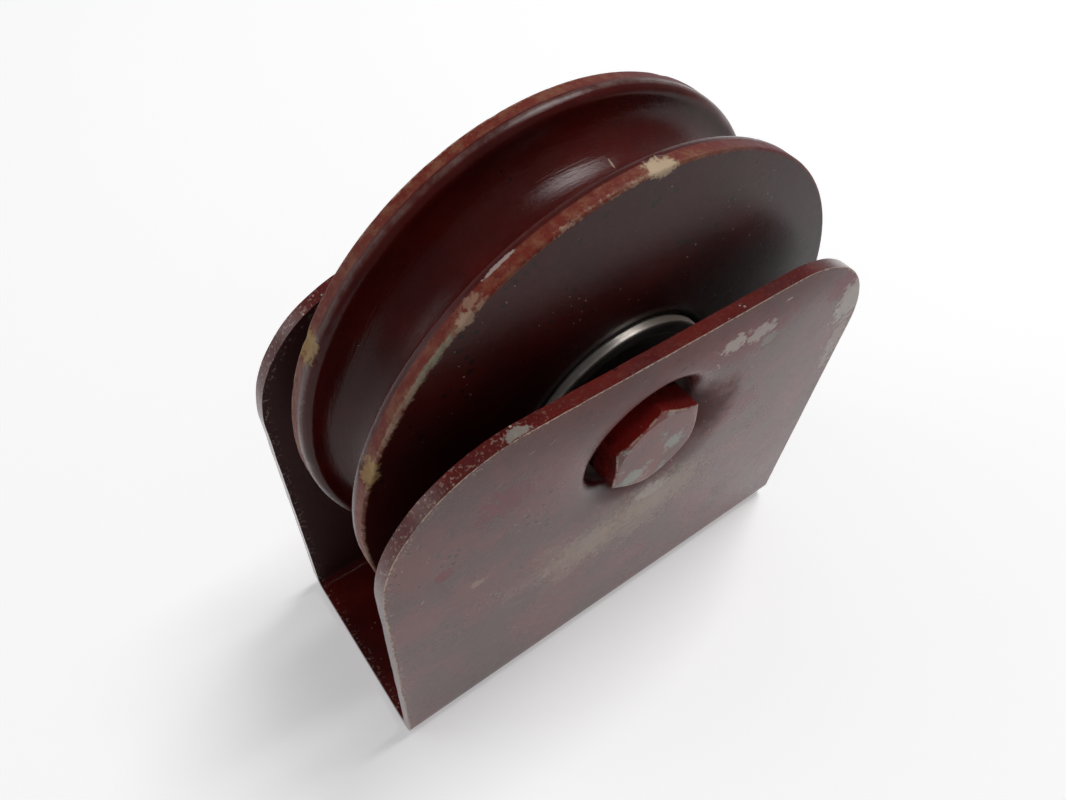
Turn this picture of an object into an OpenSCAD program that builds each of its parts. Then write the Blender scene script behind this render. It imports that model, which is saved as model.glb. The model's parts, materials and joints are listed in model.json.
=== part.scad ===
// Grooved wheel for a sliding gate, in a folded sheet-steel bracket.
// Millimetres. X is the rolling direction, Y the axle, Z up.
// The origin is the middle of the underside of the bracket's web.

/* [Wheel] */
// Diameter over the two flanges
wheel_d = 100; // [90:1:120]
// Width over the flat side faces
wheel_w = 23.5; // [21:0.5:28]
// Diameter of the round bar rail that the groove runs on
rail_d = 14; // [12:0.5:15]
// Straight wall of the groove, between its round bottom and its lips
groove_wall = 0.3; // [0.1:0.1:3]
// Radius on the outer edge of each rim
rim_round = 0.5; // [0.3:0.1:1.8]
// Radius of the lip where each rim rolls into the groove
groove_lip = 1.8; // [0.5:0.1:2]
// Bevel at the mouths of the bearing seat
seat_bevel = 0.6; // [0.2:0.1:1]
// Width of the rib in the bore that keeps the two bearings apart
rib_w = 2.4; // [1:0.1:6]
// Height of that rib
rib_h = 1.8; // [1:0.1:2.4]

/* [Bearings] */
// Bore of a bearing
bearing_bore = 17; // [16:0.5:18]
// Outer diameter of a bearing
bearing_od = 40; // [38:0.5:44]
// Width of one bearing
bearing_w = 12; // [11:0.5:14]
// Diameter of a ball
ball_d = 6.747; // [6:0.001:7]
// Balls in one bearing
ball_count = 8; // [6:1:8]
// Race radius for each millimetre of ball diameter
race_conformity = 0.52; // [0.51:0.005:0.54]
// Radial gap between the shoulders of the two rings
shoulder_gap = 4.1; // [3.6:0.1:4.6]
// Bevel on the outer corners of the rings
ring_bevel = 0.6; // [0.3:0.1:0.8]
// How far the seal steps reach beyond the shoulders
seal_step = 1; // [0.8:0.1:1.2]
// Thickness of a seal
seal_t = 0.8; // [0.6:0.1:1]
// How far a seal lies below the bearing's face
seal_inset = 0.3; // [0.1:0.1:0.5]
// Depth of the groove that the seal's bead snaps into
bead_depth = 0.4; // [0.2:0.1:0.6]
// Thickness of the bead
bead_t = 0.5; // [0.3:0.1:0.6]
// Depth of the shallow hollow in a seal's face
seal_hollow = 0.2; // [0.1:0.05:0.3]
// Sheet thickness of the cage halves
cage_t = 0.6; // [0.4:0.1:0.8]
// Radial width of the cage
cage_band = 2.2; // [1.8:0.1:2.6]
// Shank diameter of a cage rivet
rivet_d = 1; // [0.8:0.1:1.2]
// Head diameter of a cage rivet
rivet_head_d = 1.8; // [1.5:0.1:2]
// Head height of a cage rivet
rivet_head_h = 0.4; // [0.3:0.1:0.6]

/* [Bracket] */
// Length of the bracket along the rail
bracket_l = 105; // [90:1:140]
// Thickness of the sheet
sheet = 2.5; // [2:0.1:3]
// Inside radius of the two folds
bend_r = 2; // [1:0.5:4]
// Radius of the plates' top corners
corner_r = 25; // [10:1:28]
// Gap between the wheel and the web
web_gap = 11.6; // [6:0.1:20]
// Depth of the dish pressed into each plate
dish_depth = 5.5; // [4:0.5:9]
// Slope of the dish's wall
dish_slope = 74; // [50:1:76]
// Radius of the dish's lip, inside the sheet
lip_r = 1; // [0.5:0.5:3]
// Radius of the corner round the dish's floor
floor_bend_r = 1.2; // [0.8:0.1:2]
// Plate left above the lip of the dish
dish_margin = 8; // [3:0.1:10]

/* [Axle] */
// Thread diameter of the bolt
bolt_d = 12; // [10:0.5:13]
// Size across the flats of the bolt head and the nut
hex_af = 18; // [17:0.5:19]
// Height of the bolt head
head_h = 7; // [6:0.5:9]
// Height of the nut
nut_h = 10.8; // [9:0.1:12]
// Slope of the bevel on the hexagons' corners
hex_bevel_slope = 17; // [15:1:30]
// Share of the size across the flats that the bevel leaves flat
hex_face_share = 0.95; // [0.9:0.01:0.98]
// Angle that the bolt head and the nut came to rest at
hex_turn = 3; // [-30:1:30]
// Length of thread past the nut
thread_out = 0.7; // [0.5:0.1:5]
// Outer diameter of the spring washer
washer_od = 21; // [19:0.5:22]
// Thickness of the spring washer
washer_t = 2.5; // [2:0.1:3]
// Width of the cut in the spring washer
washer_cut = 1.2; // [0.6:0.1:2]
// Slant of that cut
washer_slant = 30; // [10:1:40]
// Bevel on the ends of the axle sleeve
sleeve_bevel = 0.4; // [0.2:0.1:0.6]
// Height of the sleeve's collar, which keeps the two inner rings apart
collar_h = 1.6; // [1:0.1:2]
// Gap between a bearing's face and the floor of the dish
floor_gap = 0.3; // [0.1:0.1:2]
// Room round the corners of the bolt head in the dish
head_room = 0.5; // [0.3:0.1:4]

/* [Clearances] */
// Radial gap of the groove round the rail
rail_gap = 0.2; // [0.1:0.1:0.5]
// Radial fit of rings, sleeve and seals in their seats
fit_gap = 0.01; // [0.01:0.01:0.05]
// Radial gap of the bolt in the sleeve and of the thread in the nut
bolt_gap = 0.1; // [0.05:0.05:0.3]
// Radial gap of the bolt in the plates' holes and in the washer
hole_gap = 0.3; // [0.1:0.1:0.5]
// Gap between a ball and the races
race_gap = 0.05; // [0.02:0.01:0.1]
// Gap between a ball and its pocket in the cage
pocket_gap = 0.1; // [0.05:0.05:0.2]
// Running gap between a seal's lip and the inner ring
lip_gap = 0.15; // [0.1:0.05:0.3]

/* [Hidden] */
SIDES = ["front", "back"];
$fn = 96;

// A length past a face, so that a cut goes right through
past = 1;
// Chamfer on the end of the bolt's thread
thread_end = 1;
// Straight steps in an arc of the dish's section
arc_steps = 10;

wheel_r = wheel_d / 2;
groove_r = rail_d / 2 + rail_gap;
lip_centre_r = wheel_r - groove_lip;
lip_centre_y = groove_r + groove_lip;
groove_centre_r = lip_centre_r - groove_wall;
seat_r = bearing_od / 2 + fit_gap;

ball_r = ball_d / 2;
pitch_r = (bearing_bore + bearing_od) / 4;
race_r = ball_d * race_conformity;
inner_race_centre = pitch_r - ball_r - race_gap + race_r;
outer_race_centre = pitch_r + ball_r + race_gap - race_r;
inner_shoulder_r = pitch_r - shoulder_gap / 2;
outer_shoulder_r = pitch_r + shoulder_gap / 2;
inner_land_r = inner_shoulder_r - seal_step;
recess_r = outer_shoulder_r + seal_step;
seal_face = bearing_w / 2 - seal_inset;
seal_shelf = seal_face - seal_t - fit_gap;
shoulder_end = seal_shelf - lip_gap;
pocket_r = ball_r + pocket_gap;
ball_step = 360 / ball_count;
bearing_y = (rib_w + bearing_w) / 2;

sleeve_l = 2 * (bearing_y + bearing_w / 2 + floor_gap);
floor_y = sleeve_l / 2 + sheet;
bracket_w = 2 * (floor_y + dish_depth);
axle_z = sheet + web_gap + wheel_r;
hex_corner_r = hex_af / sqrt(3);
dish_floor_r = hex_corner_r + head_room;
lip_out_r = lip_r + sheet;
dish_wall = (dish_depth - (lip_out_r + floor_bend_r) * (1 - cos(dish_slope))) / sin(dish_slope);
dish_r = dish_floor_r + (lip_out_r + floor_bend_r) * sin(dish_slope) + dish_wall * cos(dish_slope);
bracket_h = axle_z + dish_r + dish_margin;
hole_r = bolt_d / 2 + hole_gap;
bolt_l = 2 * floor_y + washer_t + nut_h + thread_out;

// Which way along the axle a bearing lies: the front is at minus Y
function side_sign(side) = side == "front" ? -1 : 1;

// Turns a shape made about Z, so that it lies along the axle
module on_axle(y = 0) {
    translate([0, y, axle_z]) rotate([-90, 0, 0]) children();
}

// Places a bearing piece, with its outward face away from the middle of the wheel
module in_bearing(side) {
    sign = side_sign(side);
    on_axle(sign * bearing_y) mirror([0, 0, sign < 0 ? 1 : 0]) children();
}

// Rectangle with beveled corners, from r0 to r1 and as high as h, about the middle
module beveled_section(r0, r1, h, bevel0, bevel1) {
    polygon([
        [r0 + bevel0, -h / 2], [r1 - bevel1, -h / 2], [r1, -h / 2 + bevel1], [r1, h / 2 - bevel1],
        [r1 - bevel1, h / 2], [r0 + bevel0, h / 2], [r0, h / 2 - bevel0], [r0, -h / 2 + bevel0]
    ]);
}

// Wheel: a turned blank with a rib in its bore, less the groove for the rail
module wheel_blank_section() {
    round_r = wheel_r - rim_round;
    round_y = wheel_w / 2 - rim_round;
    beveled_section(seat_r, round_r, wheel_w, seat_bevel, 0);
    translate([seat_r + seat_bevel, -round_y]) square([wheel_r - seat_r - seat_bevel, 2 * round_y]);
    translate([seat_r - rib_h, -rib_w / 2]) square([rib_h + seat_bevel, rib_w]);
    for (y = [-round_y, round_y]) {
        translate([round_r, y]) circle(rim_round);
    }
}

// Groove: round bottom, short straight walls, and a mouth between two rounded lips
module groove_section() {
    translate([groove_centre_r, 0]) circle(groove_r);
    translate([groove_centre_r, -groove_r]) square([wheel_r - groove_centre_r + past, 2 * groove_r]);
    difference() {
        translate([lip_centre_r, -lip_centre_y]) square([groove_lip + past, 2 * lip_centre_y]);
        for (y = [-lip_centre_y, lip_centre_y]) {
            translate([lip_centre_r, y]) circle(groove_lip);
        }
    }
}

module wheel() {
    color("maroon") on_axle() rotate_extrude() difference() {
        wheel_blank_section();
        groove_section();
    }
}

// Bearing rings: ground steel, with a round race and a step at each face for the seal
module outer_ring() {
    color("lightsteelblue") rotate_extrude() difference() {
        beveled_section(outer_shoulder_r, bearing_od / 2, bearing_w, 0, ring_bevel);
        translate([outer_race_centre, 0]) circle(race_r);
        for (flip = [0, 1]) mirror([0, flip]) {
            translate([0, seal_shelf]) square([recess_r, bearing_w]);
            translate([0, seal_shelf]) square([recess_r + bead_depth, bead_t + 2 * fit_gap]);
        }
    }
}

module inner_ring() {
    color("lightsteelblue") rotate_extrude() difference() {
        beveled_section(bearing_bore / 2, inner_shoulder_r, bearing_w, ring_bevel, 0);
        translate([inner_race_centre, 0]) circle(race_r);
        for (flip = [0, 1]) mirror([0, flip]) {
            translate([inner_land_r, shoulder_end]) square([shoulder_gap, bearing_w]);
        }
    }
}

// Seal: a moulded rubber disc, snapped into the outer ring by the bead on its edge
module seal() {
    edge_r = recess_r - fit_gap;
    bead_y = seal_face - seal_t;
    hollow_in_r = inner_shoulder_r + seal_hollow;
    hollow_out_r = outer_shoulder_r - seal_hollow;
    hollow_y = seal_face - seal_hollow;
    lip_edge_r = inner_land_r + lip_gap;
    color("dimgray") rotate_extrude() polygon([
        [lip_edge_r, bead_y], [edge_r + bead_depth, bead_y],
        [edge_r + bead_depth, bead_y + bead_t], [edge_r, bead_y + bead_t],
        [edge_r, seal_face], [hollow_out_r + seal_hollow, seal_face], [hollow_out_r, hollow_y],
        [hollow_in_r, hollow_y], [hollow_in_r - seal_hollow, seal_face], [lip_edge_r, seal_face]
    ]);
}

// Cage half: pressed sheet, flat between the balls and cupped round each of them
module cage_half() {
    color("silver") difference() {
        intersection() {
            rotate_extrude() translate([pitch_r - cage_band / 2, 0]) square([cage_band, ball_d]);
            union() {
                cylinder(r = pitch_r + cage_band, h = cage_t);
                at_balls() sphere(pocket_r + cage_t);
            }
        }
        at_balls() sphere(pocket_r);
        at_rivets() cylinder(r = rivet_d / 2 + fit_gap, h = 4 * cage_t, center = true);
    }
}

module cage_rivets() {
    head_y = cage_t + rivet_head_h / 2;
    color("gray") at_rivets() {
        cylinder(d = rivet_d, h = 2 * cage_t, center = true);
        for (y = [-head_y, head_y]) {
            translate([0, 0, y]) cylinder(d = rivet_head_d, h = rivet_head_h, center = true);
        }
    }
}

module ball(i) {
    color("white") rotate((i - 1) * ball_step) translate([pitch_r, 0, 0]) sphere(ball_r);
}

module at_balls() {
    for (i = [1 : ball_count]) {
        rotate((i - 1) * ball_step) translate([pitch_r, 0, 0]) children();
    }
}

module at_rivets() {
    for (i = [1 : ball_count]) {
        rotate((i - 0.5) * ball_step) translate([pitch_r, 0, 0]) children();
    }
}

// Axle sleeve: a tube through both bearings with a collar between them, clamped between the dishes
module axle_sleeve() {
    bore_r = bolt_d / 2 + bolt_gap;
    collar_r = bearing_bore / 2 + collar_h;
    color("slategray") on_axle() rotate_extrude() {
        beveled_section(bore_r, bearing_bore / 2 - fit_gap, sleeve_l, 0, sleeve_bevel);
        translate([bore_r, -rib_w / 2]) square([collar_r - bore_r, rib_w]);
    }
}

// Hexagon with its corners beveled at one end or at both
module hex_body(h, both_ends) {
    face_r = hex_af * hex_face_share / 2;
    drop = (hex_corner_r + past - face_r) * tan(hex_bevel_slope);
    intersection() {
        rotate(30 - hex_turn) cylinder(r = hex_corner_r, h = h, $fn = 6);
        rotate_extrude() polygon([
            [0, 0], [both_ends ? face_r : hex_corner_r + past, 0],
            [hex_corner_r + past, both_ends ? drop : 0],
            [hex_corner_r + past, h - drop], [face_r, h], [0, h]
        ]);
    }
}

// Axle bolt: its head sits in the front dish, its thread ends past the nut
module axle_bolt() {
    color("firebrick") on_axle(-floor_y) {
        mirror([0, 0, 1]) hex_body(head_h, false);
        cylinder(d = bolt_d, h = bolt_l - thread_end);
        translate([0, 0, bolt_l - thread_end])
            cylinder(d1 = bolt_d, d2 = bolt_d - 2 * thread_end, h = thread_end);
    }
}

// Spring washer: a split ring, pressed flat under the nut
module spring_washer() {
    ring_w = washer_od / 2 - hole_r;
    color("firebrick") on_axle(floor_y) difference() {
        rotate_extrude() translate([hole_r, 0]) square([ring_w, washer_t]);
        translate([hole_r + ring_w / 2, 0, washer_t / 2]) rotate([washer_slant, 0, 0])
            cube([2 * ring_w, washer_cut, 4 * washer_t], center = true);
    }
}

module axle_nut() {
    bore_r = bolt_d / 2 + bolt_gap;
    color("firebrick") on_axle(floor_y + washer_t) difference() {
        hex_body(nut_h, true);
        translate([0, 0, -past]) cylinder(r = bore_r, h = nut_h + 2 * past);
        cylinder(r1 = bore_r + thread_end, r2 = bore_r, h = thread_end);
        translate([0, 0, nut_h - thread_end])
            cylinder(r1 = bore_r, r2 = bore_r + thread_end, h = thread_end);
    }
}

// Bracket: one folded sheet
// Upright box section with its two lower corners rounded
module round_bottom(w, h, r) {
    translate([-w / 2, r]) square([w, h - r]);
    translate([-w / 2 + r, 0]) square([w - 2 * r, h]);
    for (x = [-w / 2 + r, w / 2 - r]) {
        translate([x, r]) circle(r);
    }
}

module channel() {
    rotate([90, 0, 90]) linear_extrude(bracket_l, center = true) difference() {
        round_bottom(bracket_w, bracket_h, bend_r + sheet);
        translate([0, sheet]) round_bottom(bracket_w - 2 * sheet, bracket_h, bend_r);
    }
}

// Side view of a plate: a rectangle with two round top corners
module plate_outline() {
    corner_x = bracket_l / 2 - corner_r;
    corner_z = bracket_h - corner_r;
    translate([-bracket_l / 2, 0]) square([bracket_l, corner_z]);
    translate([-corner_x, 0]) square([2 * corner_x, bracket_h]);
    for (x = [-corner_x, corner_x]) {
        translate([x, corner_z]) circle(corner_r);
    }
}

// Points along an arc about a centre
function arc(centre, r, a0, a1) = [
    for (i = [0 : arc_steps])
        let (a = a0 + (a1 - a0) * i / arc_steps)
            centre + r * [cos(a), sin(a)]
];

// Section of the dish: flat floor, corner, sloping wall, rounded lip and a rim that runs into the plate,
// all of one thickness
module dish_section() {
    corner = [dish_floor_r, dish_depth - floor_bend_r];
    lip = [dish_r, lip_out_r];
    rim_r = dish_r + past;
    polygon(concat(
        [[hole_r, dish_depth]],
        arc(corner, floor_bend_r, 90, 90 - dish_slope),
        arc(lip, lip_out_r, 270 - dish_slope, 270),
        [[rim_r, 0], [rim_r, sheet]],
        arc(lip, lip_r, 270, 270 - dish_slope),
        arc(corner, floor_bend_r + sheet, 90 - dish_slope, 90),
        [[hole_r, dish_depth + sheet]]
    ));
}

module bracket() {
    color("maroon") {
        difference() {
            intersection() {
                channel();
                rotate([90, 0, 0]) linear_extrude(bracket_w + 2 * past, center = true) plate_outline();
            }
            on_axle() cylinder(r = dish_r, h = bracket_w + 2 * past, center = true);
        }
        for (side = SIDES) {
            sign = side_sign(side);
            on_axle(sign * bracket_w / 2) mirror([0, 0, sign > 0 ? 1 : 0]) rotate_extrude() dish_section();
        }
    }
}

bracket();
wheel();
axle_sleeve();
axle_bolt();
spring_washer();
axle_nut();
for (side = SIDES) {
    in_bearing(side) outer_ring();
    in_bearing(side) inner_ring();
    in_bearing(side) seal();
    in_bearing(side) mirror([0, 0, 1]) seal();
    in_bearing(side) cage_half();
    in_bearing(side) mirror([0, 0, 1]) cage_half();
    in_bearing(side) cage_rivets();
    for (i = [1 : ball_count]) {
        in_bearing(side) ball(i);
    }
}
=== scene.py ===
import json
import math

import bpy
import numpy as np
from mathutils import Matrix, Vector, noise


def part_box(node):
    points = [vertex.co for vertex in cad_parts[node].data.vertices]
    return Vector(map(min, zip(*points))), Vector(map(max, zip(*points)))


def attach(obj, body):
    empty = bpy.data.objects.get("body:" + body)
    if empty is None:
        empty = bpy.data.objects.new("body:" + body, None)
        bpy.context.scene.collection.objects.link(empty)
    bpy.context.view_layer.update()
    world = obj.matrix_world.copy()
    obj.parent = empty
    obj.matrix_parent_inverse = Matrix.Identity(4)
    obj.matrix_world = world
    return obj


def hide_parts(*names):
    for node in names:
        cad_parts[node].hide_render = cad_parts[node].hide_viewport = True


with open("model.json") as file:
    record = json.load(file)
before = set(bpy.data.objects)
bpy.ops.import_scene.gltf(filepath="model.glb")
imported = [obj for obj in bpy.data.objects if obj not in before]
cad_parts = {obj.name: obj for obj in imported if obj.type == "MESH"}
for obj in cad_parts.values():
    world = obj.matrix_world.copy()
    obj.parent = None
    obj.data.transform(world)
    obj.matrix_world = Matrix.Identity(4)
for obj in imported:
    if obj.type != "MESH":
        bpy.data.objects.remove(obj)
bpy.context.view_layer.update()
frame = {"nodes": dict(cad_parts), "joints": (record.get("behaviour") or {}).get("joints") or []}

# Bracket: one sheet of mild steel, folded to a U, with a round dish pressed into each plate for the axle.
# It is brushed with oxide-red gloss paint, and its edges and front are rubbed and chipped.
# The web is the side that is fixed under the gate, so here the bracket stands on it.
mm = 0.001
bracket_low, bracket_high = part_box("bracket")
axle_z = frame["joints"][0]["pos_m"][2]
sheet = 2.5 * mm
fold_r = 4.5 * mm
corner_r = 25 * mm
hole_r = 6.3 * mm
dish_depth = 5.5 * mm
dish_floor_r = 10.892 * mm
dish_slope = 74
floor_bend_r = 1.2 * mm
lip_r = 3.5 * mm
lip_r_right = 6.2 * mm
draw_in = 0.35 * mm
draw_in_right = 0.7 * mm
draw_reach = 6.5 * mm
outline_step = 1.2 * mm
plate_wave = 0.12 * mm
plate_wave_size = 26 * mm
edge_wave = 0.18 * mm
edge_wave_size = 5 * mm
edge_round = 0.4 * mm


def noise_at(points, size, seed):
    """Smooth noise, about -1 to 1, at each point, with humps about as wide as size."""
    offset = Vector((seed * 17.3, seed * 5.1, 0))
    return np.array([noise.noise(Vector(point) / size + offset) for point in points])


def arc(centre, r, start, end, steps):
    """Points along an arc, from one angle to the other, both ends included."""
    angles = np.radians(np.linspace(start, end, steps + 1))
    return np.stack([centre[0] + r * np.cos(angles), centre[1] + r * np.sin(angles)], 1)


def line(start, end, step):
    """Points along a straight line, without its last one."""
    start, end = np.array(start), np.array(end)
    count = max(1, round(float(np.linalg.norm(end - start)) / step))
    return start + (end - start) * (np.arange(count) / count)[:, None]


def grid_faces(index, closed):
    """Four-sided faces over an array of vertex numbers, and round from the last column to the first if closed."""
    right = np.roll(index, -1, axis=1)
    columns = slice(None) if closed else slice(0, -1)
    corners = [index[:-1], index[1:], right[1:], right[:-1]]
    return np.stack([corner[:, columns].ravel() for corner in corners], 1)


def add_piece(name, points, faces, body, stands_for):
    """A smooth-shaded mesh that rides on a body in place of a solid of the frame."""
    mesh = bpy.data.meshes.new(name)
    mesh.from_pydata(np.asarray(points).tolist(), [], np.asarray(faces).tolist())
    mesh.shade_smooth()
    piece = bpy.data.objects.new(name, mesh)
    bpy.context.scene.collection.objects.link(piece)
    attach(piece, body)
    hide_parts(stands_for)
    return piece


def add_values(piece, name, values):
    """A number at each point of a mesh, for its material."""
    made = piece.data.attributes.new(name, "FLOAT", "POINT")
    made.data.foreach_set("value", np.asarray(values, np.float32))


# Outline of a plate: up its left side, over the top, down its right side, then back along the fold
half_l = bracket_high.x - 0.01 * mm
corner_x = half_l - corner_r
corner_z = bracket_high.z - corner_r
corner_steps = 32
sheared = np.concatenate([
    line((-half_l, fold_r), (-half_l, corner_z), outline_step),
    arc((-corner_x, corner_z), corner_r, 180, 90, corner_steps)[:-1],
    line((-corner_x, bracket_high.z), (corner_x, bracket_high.z), outline_step),
    arc((corner_x, corner_z), corner_r, 90, 0, corner_steps)[:-1],
    line((half_l, corner_z), (half_l, fold_r), outline_step),
])
from_axle = sheared - [0, axle_z]
edge_out = from_axle / np.linalg.norm(from_axle, axis=1)[:, None]
foot_fade = np.clip((sheared[:, 1] - fold_r) / (10 * mm), 0, 1)
folded = line((half_l, fold_r), (-half_l, fold_r), outline_step)

# Sections of the plate from the bolt hole out: the dish's floor, its corner, its lip, then the flat
floor_corner = arc((dish_floor_r, dish_depth - floor_bend_r), floor_bend_r, 90, 90 - dish_slope, 7)
lip_shares = np.linspace(0, 1, 13)
drawn_shares = np.array([0.07, 0.15, 0.24, 0.34, 0.45, 0.57, 0.7, 0.84, 1])
flat_shares = [0.1, 0.2, 0.3, 0.4, 0.5, 0.6, 0.7, 0.79, 0.87, 0.93, 0.975, 1]


def dish_rings(spokes):
    """Distance from the axle and depth of each ring of the dish and of the sheet drawn in round it, one to a spoke.

    The sheet gave way more low on the right, so the lip is softer there."""
    right = (0.5 + 0.5 * spokes @ [0.85, -0.53]) ** 2
    drawn = draw_in + (draw_in_right - draw_in) * right
    lip_bend = lip_r + (lip_r_right - lip_r) * right
    slope = math.radians(dish_slope)
    bends = lip_bend + floor_bend_r
    wall = (dish_depth - bends * (1 - math.cos(slope))) / math.sin(slope)
    lip_at = dish_floor_r + bends * math.sin(slope) + wall * math.cos(slope)
    lip_end = np.arctan(2 * drawn / draw_reach)
    floor = [(np.full(len(spokes), r), np.full(len(spokes), depth))
             for r, depth in [(hole_r, dish_depth), ((hole_r + dish_floor_r) / 2, dish_depth), *floor_corner]]
    angles = [slope + (lip_end - slope) * share for share in lip_shares]
    lip = [(lip_at - lip_bend * np.sin(angle), lip_bend * (1 - np.cos(angle))) for angle in angles]
    end_r, end_depth = lip[-1]
    stretch = (dish_depth - drawn) / (dish_depth - end_depth)
    rings = [(r, drawn + (depth - end_depth) * stretch) for r, depth in floor + lip]
    return rings + [(end_r + draw_reach * share, drawn * (1 - share) ** 2) for share in drawn_shares]


points, edge_distance = [], []
plate_index = {}
for side, sign in (("front", -1), ("back", 1)):
    ragged = noise_at(np.insert(sheared, 1, sign, 1), edge_wave_size, 1)
    inset = edge_wave * (ragged - 1) / 2 * foot_fade
    outline = np.concatenate([sheared + edge_out * inset[:, None], folded]) - [0, axle_z]
    spokes = outline / np.linalg.norm(outline, axis=1)[:, None]
    rings = [(spokes * r[:, None], depth) for r, depth in dish_rings(spokes)]
    flat_start = rings[-1][0]
    rings += [(flat_start * (1 - share) + outline * share, np.zeros(len(outline))) for share in flat_shares]
    first = len(points)
    for plane, depth in rings:
        flat = np.stack([plane[:, 0], sign * (bracket_high.y - depth), plane[:, 1] + axle_z], 1)
        foot = np.clip((flat[:, 2] - fold_r) / (12 * mm), 0, 1)
        bulge = plate_wave * (noise_at(flat, plate_wave_size, 2) - 1) / 2
        flat[:, 1] += sign * bulge * foot
        points += flat.tolist()
        gaps = np.linalg.norm(flat[:, None, [0, 2]] - sheared[None], axis=2)
        edge_distance += gaps.min(1).tolist()
    plate_index[side] = first + np.arange(len(rings) * len(outline)).reshape(len(rings), -1)

# Folds and web: rows across the bracket that share the plates' lowest points
fold_columns = np.append(np.arange(len(sheared), len(sheared) + len(folded)), 0)
fold_x = np.append(folded[:, 0], -half_l)
bend_y = bracket_high.y - fold_r
across = np.concatenate([
    arc((-bend_y, fold_r), fold_r, 180, 270, 8)[1:],
    line((-bend_y, 0), (bend_y, 0), 2 * mm)[1:],
    arc((bend_y, fold_r), fold_r, 270, 360, 8)[:-1],
])
first = len(points)
for y, z in across:
    points += np.stack([fold_x, np.full(len(fold_x), y), np.full(len(fold_x), z)], 1).tolist()
    edge_distance += (half_l - np.abs(fold_x)).tolist()
web_index = first + np.arange(len(across) * len(fold_x)).reshape(len(across), -1)
web_index = np.concatenate([
    plate_index["front"][-1][fold_columns][None], web_index, plate_index["back"][-1][fold_columns][None]])
faces = np.concatenate([
    grid_faces(plate_index["front"], True)[:, ::-1],
    grid_faces(plate_index["back"], True),
    grid_faces(web_index, False)[:, ::-1],
])
bracket = add_piece("painted_bracket", points, faces, "support", "bracket")
add_values(bracket, "edge_mm", np.array(edge_distance) / mm)
thickness = bracket.modifiers.new("sheet", "SOLIDIFY")
thickness.thickness = sheet
thickness.offset = -1
thickness.use_even_offset = True
rounding = bracket.modifiers.new("rounded_edges", "BEVEL")
rounding.width = edge_round
rounding.segments = 3
rounding.limit_method = "ANGLE"
rounding.angle_limit = math.radians(55)
rounding.harden_normals = True


def node(tree, kind, inputs=None, **settings):
    """A node with its settings and inputs: an input is a value, or a socket to link from."""
    made = tree.nodes.new(kind)
    for name, value in settings.items():
        setattr(made, name, value)
    for name, value in (inputs or {}).items():
        if isinstance(value, bpy.types.NodeSocket):
            tree.links.new(value, made.inputs[name])
        else:
            made.inputs[name].default_value = value
    return made


def maths(tree, operation, a, b=0.0):
    return node(tree, "ShaderNodeMath", {0: a, 1: b}, operation=operation).outputs[0]


def times(tree, a, b):
    return node(tree, "ShaderNodeMath", {0: a, 1: b}, operation="MULTIPLY").outputs[0]


def inverse(tree, mask):
    return maths(tree, "SUBTRACT", 1, mask)


def worn_down(tree, height, mask, depth):
    """A height in millimetres, lowered by a depth where the mask is 1."""
    return maths(tree, "SUBTRACT", height, times(tree, mask, depth))


def vector_maths(tree, operation, a, b=(0, 0, 0)):
    made = node(tree, "ShaderNodeVectorMath", {0: a, 1: b}, operation=operation)
    return made.outputs["Value" if operation == "LENGTH" else "Vector"]


def split(tree, vector):
    return node(tree, "ShaderNodeSeparateXYZ", {0: vector}).outputs


def ramp(tree, value, low, high, to_low=0.0, to_high=1.0):
    """A smooth step from to_low, at low, to to_high, at high."""
    return node(tree, "ShaderNodeMapRange",
                {"Value": value, "From Min": low, "From Max": high, "To Min": to_low, "To Max": to_high},
                interpolation_type="SMOOTHSTEP").outputs[0]


def mix(tree, factor, a, b):
    """One colour laid over another."""
    return node(tree, "ShaderNodeMix", {0: factor, 6: a, 7: b}, data_type="RGBA").outputs[2]


def mix_value(tree, factor, a, b):
    """One value laid over another."""
    return node(tree, "ShaderNodeMix", {0: factor, 2: a, 3: b}, data_type="FLOAT").outputs[0]


def fine_noise(tree, position, scale, detail=3.0, rough=0.6):
    return node(tree, "ShaderNodeTexNoise",
                {"Vector": position, "Scale": scale, "Detail": detail, "Roughness": rough}).outputs[0]


def flaking(tree, position, scale):
    """The noise that breaks up ragged patches. Its flakes are about 1 / scale millimetres wide."""
    return fine_noise(tree, position, scale, 7, 0.72)


def about_axle(tree, position):
    """A place's parts measured from the axle, and its distance from the axle, in millimetres."""
    away = vector_maths(tree, "SUBTRACT", position, (0, 0, axle_z / mm))
    return split(tree, away), vector_maths(tree, "LENGTH", vector_maths(tree, "MULTIPLY", away, (1, 0, 1)))


def new_group(name, inputs, outputs):
    """An empty shader group with named sockets, each given as its name, kind and, for an input, start value."""
    tree = bpy.data.node_groups.new(name, "ShaderNodeTree")
    for socket, kind, value in inputs:
        made = tree.interface.new_socket(socket, in_out="INPUT", socket_type="NodeSocket" + kind)
        if value is not None:
            made.default_value = value
    for socket, kind in outputs:
        tree.interface.new_socket(socket, in_out="OUTPUT", socket_type="NodeSocket" + kind)
    return tree, tree.nodes.new("NodeGroupInput").outputs, tree.nodes.new("NodeGroupOutput").inputs


def place(tree, group, inputs):
    """The outputs of a group's node, with its inputs set or linked."""
    made = tree.nodes.new("ShaderNodeGroup")
    made.node_tree = group
    for name, value in inputs.items():
        if isinstance(value, bpy.types.NodeSocket):
            tree.links.new(value, made.inputs[name])
        else:
            made.inputs[name].default_value = value
    return made.outputs


def new_material(name):
    """A material's tree, its shader and its position in millimetres."""
    material = bpy.data.materials.new(name)
    material.use_nodes = True
    tree = material.node_tree
    position = tree.nodes.new("ShaderNodeTexCoord").outputs["Object"]
    position = node(tree, "ShaderNodeVectorMath", {0: position, "Scale": 1 / mm}, operation="SCALE").outputs[0]
    return material, tree, tree.nodes["Principled BSDF"], position


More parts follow.
